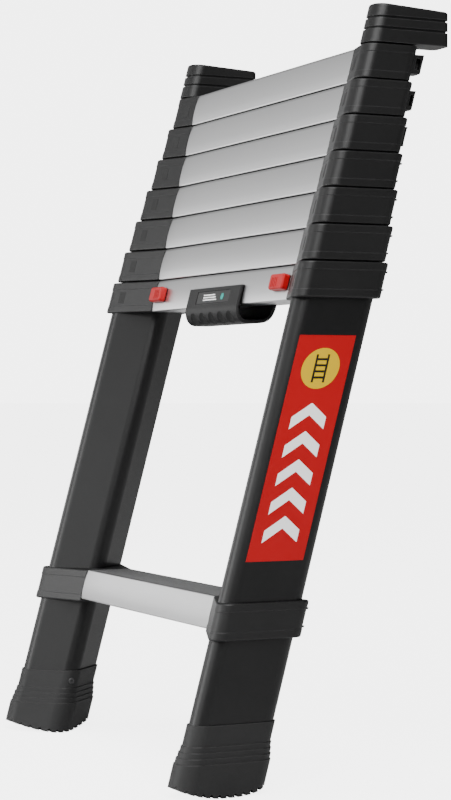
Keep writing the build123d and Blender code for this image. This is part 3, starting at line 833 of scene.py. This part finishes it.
@dataclass
class StileLabel:
    """The large red label on the right stile's flat outer side, with generic marks."""

    leaning: Leaning
    front: float = -11.0 * MM
    rear: float = 41.5 * MM
    low: float = 196.5 * MM
    high: float = 388.5 * MM
    film: float = 0.15 * MM
    ink: float = 0.06 * MM
    chevrons: int = 5
    chevron_pitch: float = 24.0 * MM
    chevron_start: float = 212.0 * MM
    chevron_rise: float = 12.0 * MM
    chevron_weight: float = 10.5 * MM
    chevron_half: float = 16.0 * MM
    emblem_height: float = 360.0 * MM
    emblem_radius: float = 17.5 * MM
    emblem_sides: int = 48
    rail_half: float = 5.2 * MM
    rail_reach: float = 12.0 * MM
    bar_weight: float = 1.9 * MM
    ladder_bars: int = 4
    bar_pitch: float = 5.2 * MM

    def face_x(self) -> float:
        """X of the outer tube's flat side."""
        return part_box("outer_tube_right")[1].x

    def shape(self, points: list[tuple[float, float]], lift: float) -> list[Vector]:
        """Corners on the label, from their depths and heights.

        Args:
            points: depth and height of each corner.
            lift: distance out of the tube's face.

        Returns:
            The corners in the row frame.
        """
        return [self.leaning.at(self.face_x() + lift, depth, height) for depth, height in points]

    def chevron(self, height: float) -> list[tuple[float, float]]:
        """Corners of one upward chevron.

        Args:
            height: height of its foot.

        Returns:
            Depth and height of each corner, in order.
        """
        middle = (self.front + self.rear) / 2
        half, rise, weight = self.chevron_half, self.chevron_rise, self.chevron_weight
        return [
            (middle - half, height),
            (middle, height + rise),
            (middle + half, height),
            (middle + half, height + weight),
            (middle, height + rise + weight),
            (middle - half, height + weight),
        ]

    def build(self, finishes: Finishes) -> None:
        """Adds the film, the chevrons and the emblem.

        Args:
            finishes: every finish.
        """
        outward = Vector((1, 0, 0))
        front, rear, low, high = self.front, self.rear, self.low, self.high
        corners = [(front, low), (rear, low), (rear, high), (front, high)]
        film = raised(self.shape(corners, 0), outward * self.film, self.film / 3)
        add_piece("stile_label", film, finishes.film, "base")
        for index in range(self.chevrons):
            marks = self.chevron(self.chevron_start + index * self.chevron_pitch)
            mesh = raised(self.shape(marks, self.film), outward * self.ink)
            add_piece(f"label_chevron_{index + 1}", mesh, finishes.white, "base")
        self.emblem(finishes)

    def emblem(self, finishes: Finishes) -> None:
        """Adds a yellow disc with a plain black ladder on it.

        Args:
            finishes: every finish.
        """
        outward = Vector((1, 0, 0))
        middle = (self.front + self.rear) / 2
        disc = []
        for step in range(self.emblem_sides):
            turn = math.tau * step / self.emblem_sides
            across, rise = self.emblem_radius * math.cos(turn), self.emblem_radius * math.sin(turn)
            disc.append((middle + across, self.emblem_height + rise))
        plate = raised(self.shape(disc, self.film), outward * self.ink)
        add_piece("label_emblem", plate, finishes.yellow, "base")
        half, weight = self.rail_half, self.bar_weight / 2
        strips = []
        for rail in (-half, half):
            strips.append((middle + rail - weight, middle + rail + weight, -self.rail_reach, self.rail_reach))
        for bar in range(self.ladder_bars):
            rise = (bar - (self.ladder_bars - 1) / 2) * self.bar_pitch
            strips.append((middle - half + weight, middle + half - weight, rise - weight, rise + weight))
        for index, (left, right, low, high) in enumerate(strips):
            low, high = self.emblem_height + low, self.emblem_height + high
            outline = [(left, low), (right, low), (right, high), (left, high)]
            strip = raised(self.shape(outline, self.film + self.ink), outward * self.ink)
            add_piece(f"emblem_strip_{index + 1}", strip, finishes.ink, "base")


@dataclass(frozen=True)
class Softbox:
    """A soft rectangular light: its place, its width and height, and its power in watts."""

    name: str
    place: Triple
    size: tuple[float, float]
    power: float


SOFTBOXES = (
    Softbox("key_box", (2.1, -0.9, 2.6), (2.5, 2.5), 165),
    Softbox("front_box", (0.8, -2.8, 0.9), (1.6, 1.6), 20),
    Softbox("front_left_box", (-0.9, -2.8, 0.9), (1.4, 1.6), 48),
    Softbox("left_box", (-2.2, -0.95, 1.55), (2.4, 1.4), 7),
    Softbox("low_left_box", (-2.4, -1.0, 0.6), (2.4, 0.6), 10),
)


@dataclass
class Studio:
    """Pale floor, soft light and the camera.

    floor_glow and backdrop are what the camera sees; surround is what lights the ladder.
    """

    floor_radius: float = 60.0
    floor_sides: int = 64
    floor_tone: float = 0.6
    floor_roughness: float = 0.9
    floor_specular: float = 0.1
    eye: Triple = (1.8429, -0.8517, 0.3403)
    heading: float = math.radians(25.13)
    dip: float = math.radians(0.23)
    focal: float = 2144.6 / 800
    sensor: float = 36.0
    floor_glow: float = 4.35
    backdrop: float = 5.0
    surround: float = 0.16
    clip_end: float = 200.0
    aim: Triple = (0, 0, 0.34)
    sun_power: float = 1.0
    sun_width: float = math.radians(50)
    sun_direction: Triple = (0.1, 0.35, -1)

    def floor(self) -> None:
        """Adds the floor."""
        mesh = bmesh.new()
        bmesh.ops.create_circle(mesh, cap_ends=True, segments=self.floor_sides, radius=self.floor_radius)
        data = bpy.data.meshes.new("floor")
        mesh.to_mesh(data)
        mesh.free()
        piece = linked("floor", data)
        graph = Graph("pale_floor")
        tone = self.floor_tone
        graph.shader.inputs["Base Color"].default_value = (tone, tone, tone, 1)
        graph.shader.inputs["Roughness"].default_value = self.floor_roughness
        graph.shader.inputs["Specular IOR Level"].default_value = self.floor_specular
        graph.shader.inputs["Emission Color"].default_value = (1, 1, 1, 1)
        rays = graph.add("ShaderNodeLightPath")
        glow = graph.reckon("MULTIPLY", rays, "Is Camera Ray", self.floor_glow)
        graph.join(glow, "Value", graph.shader, "Emission Strength")
        data.materials.append(graph.material)

    def camera(self) -> None:
        """Adds the camera."""
        data = bpy.data.cameras.new("camera")
        data.sensor_width = self.sensor
        data.lens = self.focal * self.sensor
        data.clip_end = self.clip_end
        camera = linked("camera", data)
        camera.location = self.eye
        level = math.cos(self.dip)
        along, across = -math.cos(self.heading) * level, math.sin(self.heading) * level
        turned(camera, Vector((along, across, -math.sin(self.dip))))
        bpy.context.scene.camera = camera

    def softbox(self, box: Softbox) -> None:
        """Adds a soft rectangular light aimed at the ladder's middle.

        Args:
            box: the light's place, size and power.
        """
        data = bpy.data.lights.new(box.name, "AREA")
        data.shape = "RECTANGLE"
        data.size, data.size_y = box.size
        data.energy = box.power
        light = linked(box.name, data)
        light.location = box.place
        turned(light, Vector(self.aim) - Vector(box.place))

    def sun(self) -> None:
        """Adds a broad overhead light that lights the whole floor evenly."""
        data = bpy.data.lights.new("overhead", "SUN")
        data.energy = self.sun_power
        data.angle = self.sun_width
        turned(linked("overhead", data), Vector(self.sun_direction))

    def world(self) -> None:
        """Sets a pale backdrop for the camera and a dimmer, even surround for the light."""
        world = bpy.data.worlds.new("surround")
        world.use_nodes = True
        tree = world.node_tree
        lighting = tree.nodes["Background"]
        lighting.inputs["Color"].default_value = (1, 1, 1, 1)
        lighting.inputs["Strength"].default_value = self.surround
        seen = tree.nodes.new("ShaderNodeBackground")
        seen.inputs["Color"].default_value = (1, 1, 1, 1)
        seen.inputs["Strength"].default_value = self.backdrop
        rays = tree.nodes.new("ShaderNodeLightPath")
        choice = tree.nodes.new("ShaderNodeMixShader")
        tree.links.new(rays.outputs["Is Camera Ray"], choice.inputs["Fac"])
        tree.links.new(lighting.outputs["Background"], choice.inputs[1])
        tree.links.new(seen.outputs["Background"], choice.inputs[2])
        tree.links.new(choice.outputs["Shader"], tree.nodes["World Output"].inputs["Surface"])
        bpy.context.scene.world = world

    def build(self) -> None:
        """Sets up the studio."""
        self.floor()
        self.camera()
        self.world()
        self.sun()
        for box in SOFTBOXES:
            self.softbox(box)


def main() -> None:
    """Builds the ladder's looks, piece by piece."""
    logging.basicConfig(level=logging.INFO, format="%(message)s")
    Studio().build()
    leaning = Leaning()
    finishes = Finishes()
    builders = (
        StileTubes(),
        Rungs(),
        Collars(leaning),
        Locks(leaning),
        Ends(),
        Handle(leaning),
        StileLabel(leaning),
    )
    for builder in builders:
        builder.build(finishes)
        LOG.info("built %s", type(builder).__name__)


if __name__ == "__main__":
    main()
